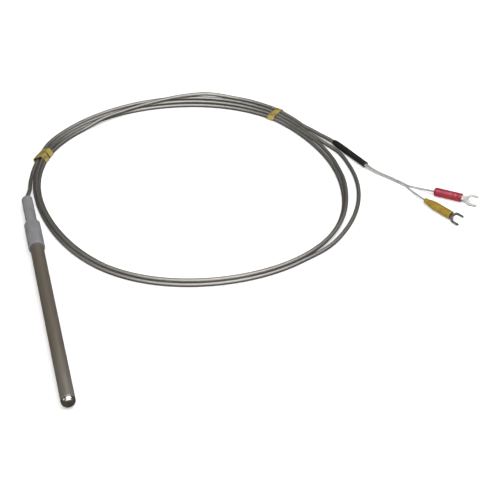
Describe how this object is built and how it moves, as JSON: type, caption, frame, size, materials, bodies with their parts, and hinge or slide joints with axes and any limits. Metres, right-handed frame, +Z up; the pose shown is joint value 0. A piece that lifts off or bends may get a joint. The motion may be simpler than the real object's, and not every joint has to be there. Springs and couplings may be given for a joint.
{
  "type": "thermocouple",
  "caption": "Tube thermocouple with a closed steel probe, stepped grey strain relief, coiled and tied braided lead, and fork terminals with red and yellow sleeves.",
  "frame": {"origin": "middle of the probe's box, on the surface that the probe lies on", "axes": "+Y along the probe from its closed tip to its cable end, +Z up, +X towards the coil"},
  "size_m": [0.2789, 0.2836, 0.0098],
  "materials": {
    "steel": "drawn stainless tube, satin, slightly browned",
    "steel_tip": "stainless, welded and smoothed",
    "thermo_alloy": "bare nickel alloy wire",
    "ceramic": "fired white ceramic, dull",
    "magnesia": "pressed white powder",
    "tin": "tinned copper, dull",
    "fibre": "glass fibre sleeving",
    "potting": "cast sealing compound",
    "silicone": "soft silicone",
    "grey_sleeve": "bluish grey sleeving, satin",
    "braid": "fine stainless wire braid",
    "yellow_tape": "yellow tape, satin",
    "black_sleeve": "black heat shrink sleeving",
    "lead_white": "light insulated lead",
    "boot_red": "soft red vinyl",
    "boot_yellow": "soft yellow vinyl"
  },
  "bodies": {
    "root": {"sheath_tube": "steel", "tip_cap": "steel_tip", "hot_junction": "thermo_alloy", "thermoelement_positive": "thermo_alloy", "thermoelement_negative": "thermo_alloy", "ceramic_insulators": "ceramic", "magnesia_filling": "magnesia", "splice_crimp_positive": "tin", "splice_crimp_negative": "tin", "splice_sleeve_positive": "fibre", "splice_sleeve_negative": "fibre", "inner_lead_positive": "fibre", "inner_lead_negative": "fibre", "end_seal": "potting", "gland_ferrule": "steel_tip", "cable_inner_end": "braid", "relief_liner": "silicone", "collar_sleeve": "grey_sleeve", "strain_relief_sleeve": "grey_sleeve", "cable_lead_in": "braid", "cable_coil": "braid", "cable_tail": "braid", "tie_left": "yellow_tape", "tie_right": "yellow_tape", "breakout_sleeve": "black_sleeve", "lead_positive": "lead_white", "lead_negative": "lead_white", "bare_end_positive": "thermo_alloy", "bare_end_negative": "thermo_alloy", "terminal_positive": "tin", "terminal_negative": "tin", "terminal_boot_positive": "boot_yellow", "terminal_boot_negative": "boot_red"}
  },
  "joints": []
}
